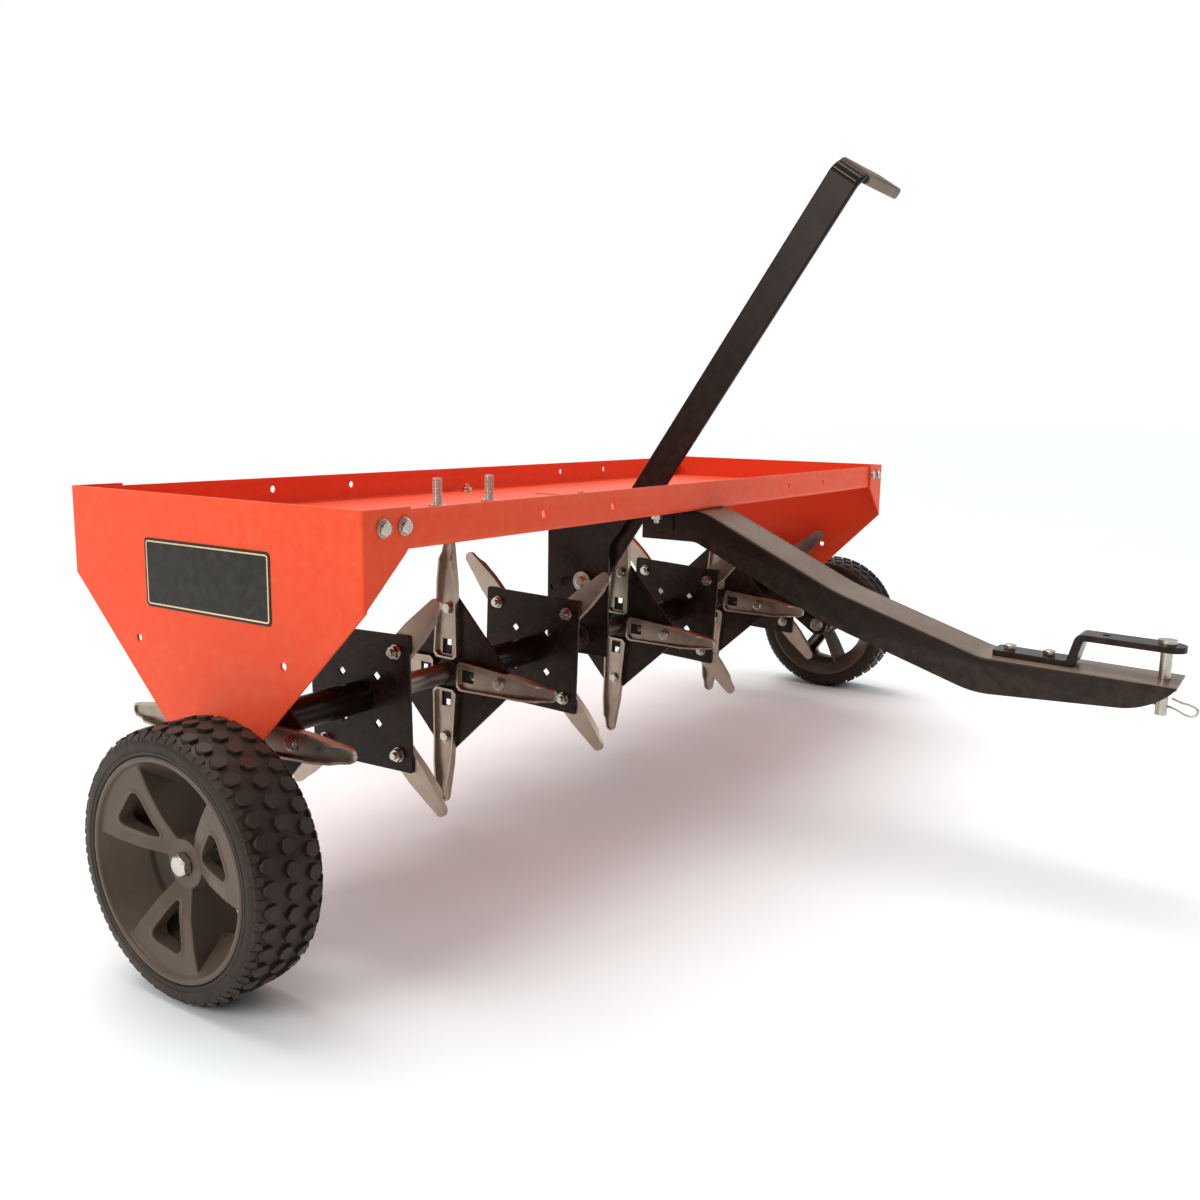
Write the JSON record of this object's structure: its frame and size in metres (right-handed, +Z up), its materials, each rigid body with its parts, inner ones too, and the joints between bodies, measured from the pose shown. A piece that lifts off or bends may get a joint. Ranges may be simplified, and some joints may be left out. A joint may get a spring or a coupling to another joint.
{
  "type": "tow-behind core aerator",
  "caption": "Tow-behind core aerator: open ballast tray over tine spools on a cross shaft, with a lift lever, wheels, a cranked drawbar and a pinned clevis hitch.",
  "frame": {"origin": "on the ground under the middle of the machine's overall box", "axes": "+X along the machine's width, -Y towards the hitch, +Z up"},
  "size_m": [1.5574, 1.0415, 0.847],
  "materials": {
    "orange_paint": "semi-gloss powder coat",
    "black_paint": "gloss powder coat",
    "tine_steel": "worn zinc, satin",
    "zinc": "bright zinc plate",
    "shaft_steel": "cold-drawn, oiled",
    "nylon": "matte",
    "rim_plastic": "satin",
    "tyre": "matte rubber",
    "grip": "matte",
    "badge": "gloss black with a gold edge"
  },
  "bodies": {
    "frame": {"tray": "orange_paint", "left_end_panel": "orange_paint", "right_end_panel": "orange_paint", "side_badges": "badge", "panel_bolts": "zinc", "panel_nuts": "zinc", "center_hanger": "black_paint", "shaft_bushings": "nylon", "tongue": "black_paint", "tongue_brackets": "black_paint", "floor_bolts": "zinc", "floor_nuts": "zinc", "ballast_studs": "zinc", "ballast_nuts": "zinc", "hitch_strap": "black_paint", "hitch_bolts": "zinc", "hitch_nuts": "zinc"},
    "pin": {"hitch_pin": "zinc", "hitch_clip": "zinc"},
    "lift": {"rock_shaft": "shaft_steel", "shaft_spacers": "shaft_steel", "shaft_bolts": "zinc", "shaft_nuts": "zinc", "lift_crank": "black_paint", "lift_lever": "black_paint", "lever_grip": "grip", "lever_bolts": "zinc", "lever_nuts": "zinc", "lever_rollers": "zinc", "left_wheel_arm": "black_paint", "right_wheel_arm": "black_paint", "wheel_bolts": "zinc", "wheel_nuts": "zinc"},
    "left_wheel": {"left_rim": "rim_plastic", "left_tyre": "tyre", "left_wheel_bushings": "nylon"},
    "right_wheel": {"right_rim": "rim_plastic", "right_tyre": "tyre", "right_wheel_bushings": "nylon"},
    "spool_1": {"spool_1_frame": "black_paint", "spool_1_tines": "tine_steel", "spool_1_bolts": "zinc", "spool_1_nuts": "zinc", "spool_1_bushings": "nylon"},
    "spool_2": {"spool_2_frame": "black_paint", "spool_2_tines": "tine_steel", "spool_2_bolts": "zinc", "spool_2_nuts": "zinc", "spool_2_bushings": "nylon"},
    "spool_3": {"spool_3_frame": "black_paint", "spool_3_tines": "tine_steel", "spool_3_bolts": "zinc", "spool_3_nuts": "zinc", "spool_3_bushings": "nylon"},
    "spool_4": {"spool_4_frame": "black_paint", "spool_4_tines": "tine_steel", "spool_4_bolts": "zinc", "spool_4_nuts": "zinc", "spool_4_bushings": "nylon"}
  },
  "joints": [
    {"name": "lift", "type": "hinge", "parent": "frame", "child": "lift", "pos_m": [0, 0.29913, 0.2005], "axis": [1, 0, 0], "range_deg": [-40, 0]},
    {"name": "left_wheel_spin", "type": "hinge", "parent": "lift", "child": "left_wheel", "pos_m": [-0.7407, 0.20143, 0.127], "axis": [1, 0, 0], "continuous": true},
    {"name": "right_wheel_spin", "type": "hinge", "parent": "lift", "child": "right_wheel", "pos_m": [0.7407, 0.20143, 0.127], "axis": [1, 0, 0], "continuous": true},
    {"name": "pin_slide", "type": "slide", "parent": "frame", "child": "pin", "axis": [0, 0, 1], "range_m": [0, 0.012]},
    {"name": "spool_1_spin", "type": "hinge", "parent": "lift", "child": "spool_1", "pos_m": [-0.529, 0.29913, 0.2005], "axis": [1, 0, 0], "continuous": true},
    {"name": "spool_2_spin", "type": "hinge", "parent": "lift", "child": "spool_2", "pos_m": [-0.20125, 0.29913, 0.2005], "axis": [1, 0, 0], "continuous": true},
    {"name": "spool_3_spin", "type": "hinge", "parent": "lift", "child": "spool_3", "pos_m": [0.20125, 0.29913, 0.2005], "axis": [1, 0, 0], "continuous": true},
    {"name": "spool_4_spin", "type": "hinge", "parent": "lift", "child": "spool_4", "pos_m": [0.529, 0.29913, 0.2005], "axis": [1, 0, 0], "continuous": true}
  ]
}
